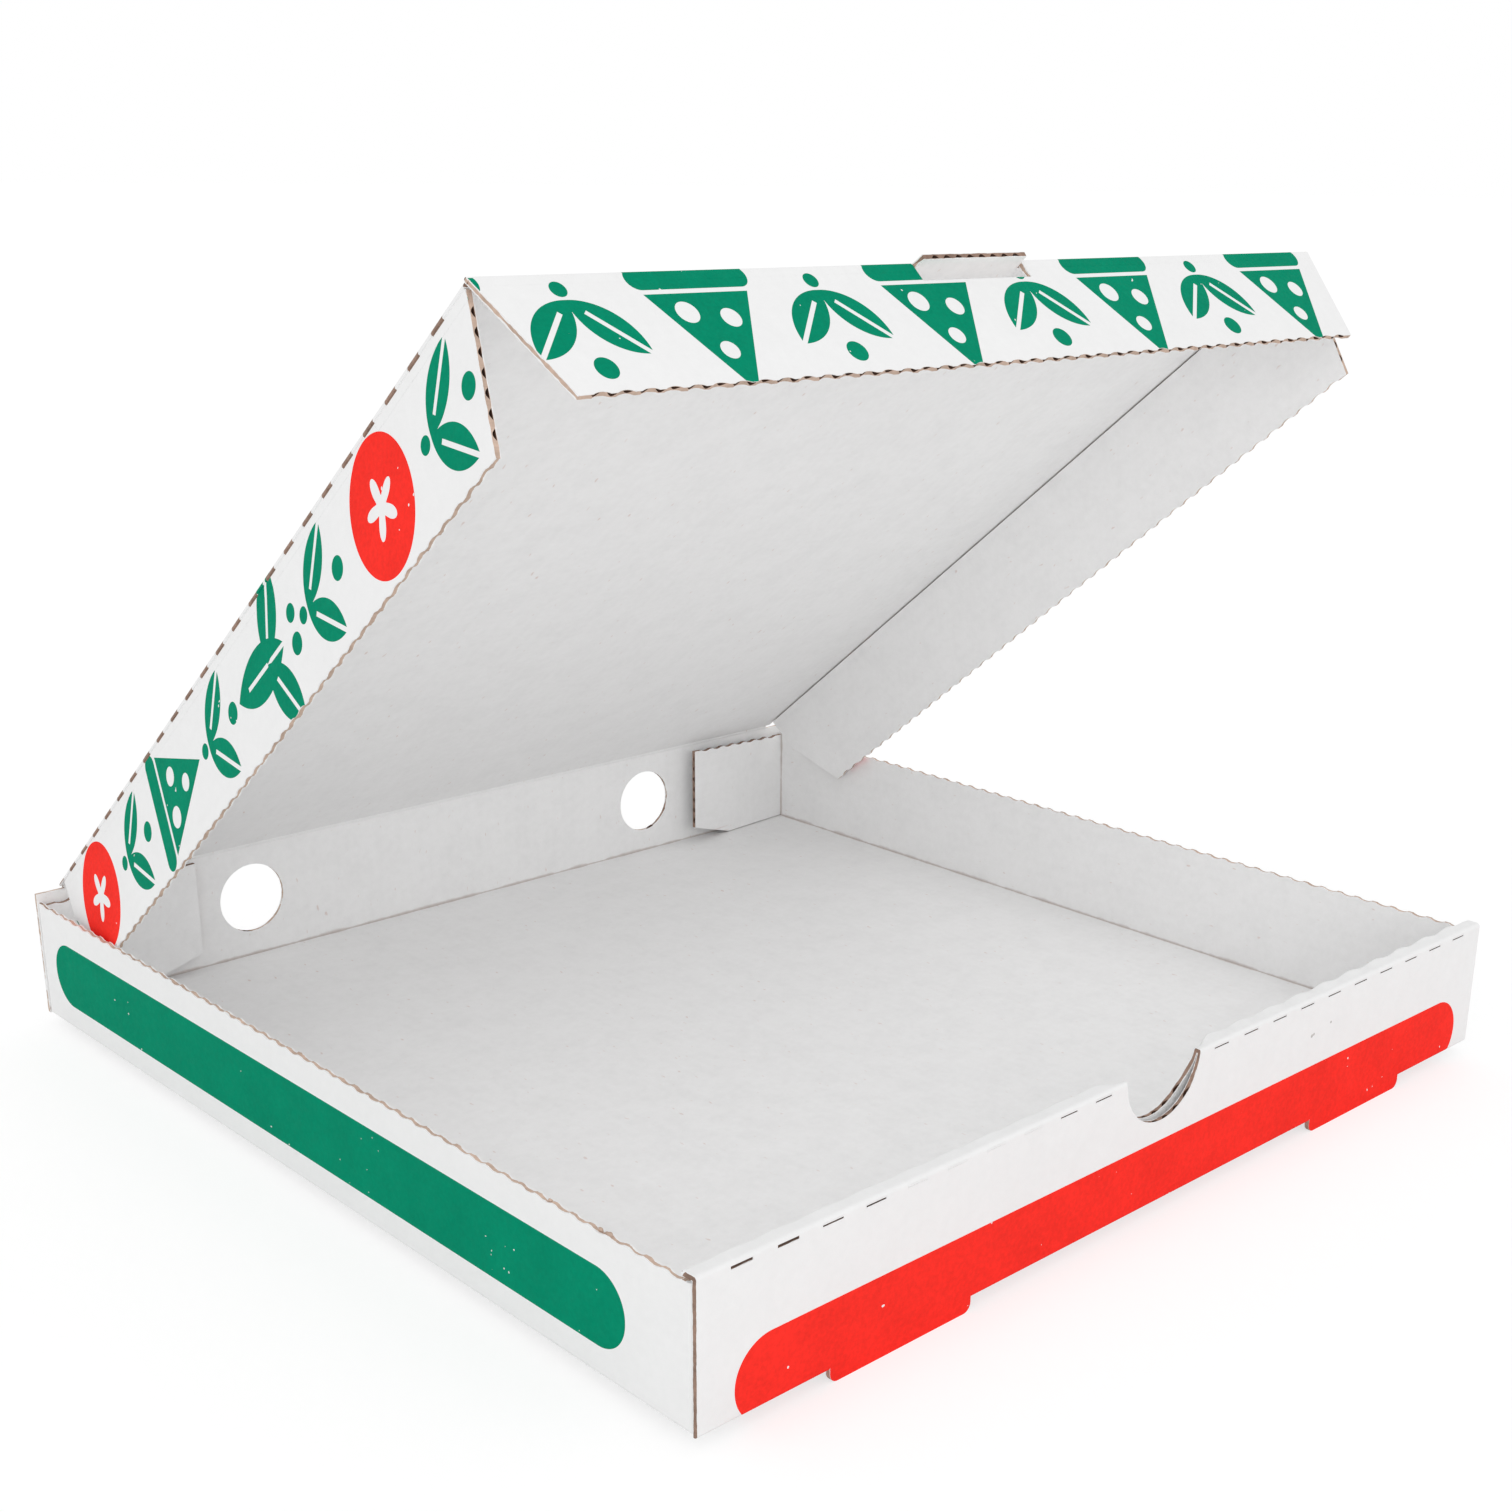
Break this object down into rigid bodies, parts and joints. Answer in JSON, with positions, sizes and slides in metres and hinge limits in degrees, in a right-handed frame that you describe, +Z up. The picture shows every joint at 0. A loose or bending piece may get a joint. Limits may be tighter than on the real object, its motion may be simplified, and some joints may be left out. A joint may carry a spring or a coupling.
{
  "type": "pizza box",
  "caption": "Open pizza box folded from corrugated board: square tray with a double front wall and thumb notch, vented back wall, and a hinged lid with tuck-in flaps.",
  "frame": {"origin": "centre of the underside of the tray's base", "axes": "+X to the box's right side, +Y from the front wall to the back wall, +Z up out of the tray"},
  "size_m": [0.33, 0.33, 0.2491],
  "materials": {
    "white_board": "matte"
  },
  "bodies": {
    "tray": {"tray": "white_board"},
    "lid": {"lid": "white_board"},
    "front_flap": {"lid_front_flap": "white_board"},
    "left_flap": {"lid_left_flap": "white_board"},
    "right_flap": {"lid_right_flap": "white_board"}
  },
  "joints": [
    {"name": "lid_hinge", "type": "hinge", "parent": "tray", "child": "lid", "pos_m": [0, 0.16425, 0.04235], "axis": [-1, 0, 0], "range_deg": [-39, 141]},
    {"name": "front_flap_fold", "type": "hinge", "parent": "lid", "child": "front_flap", "pos_m": [0, -0.08299, 0.24256], "axis": [-1, 0, 0], "range_deg": [-8, 82]},
    {"name": "left_flap_fold", "type": "hinge", "parent": "lid", "child": "left_flap", "pos_m": [-0.15561, 0.03997, 0.14164], "axis": [0, -0.7771, 0.6293], "range_deg": [0, 85]},
    {"name": "right_flap_fold", "type": "hinge", "parent": "lid", "child": "right_flap", "pos_m": [0.15561, 0.03997, 0.14164], "axis": [0, 0.7771, -0.6293], "range_deg": [0, 85]}
  ]
}
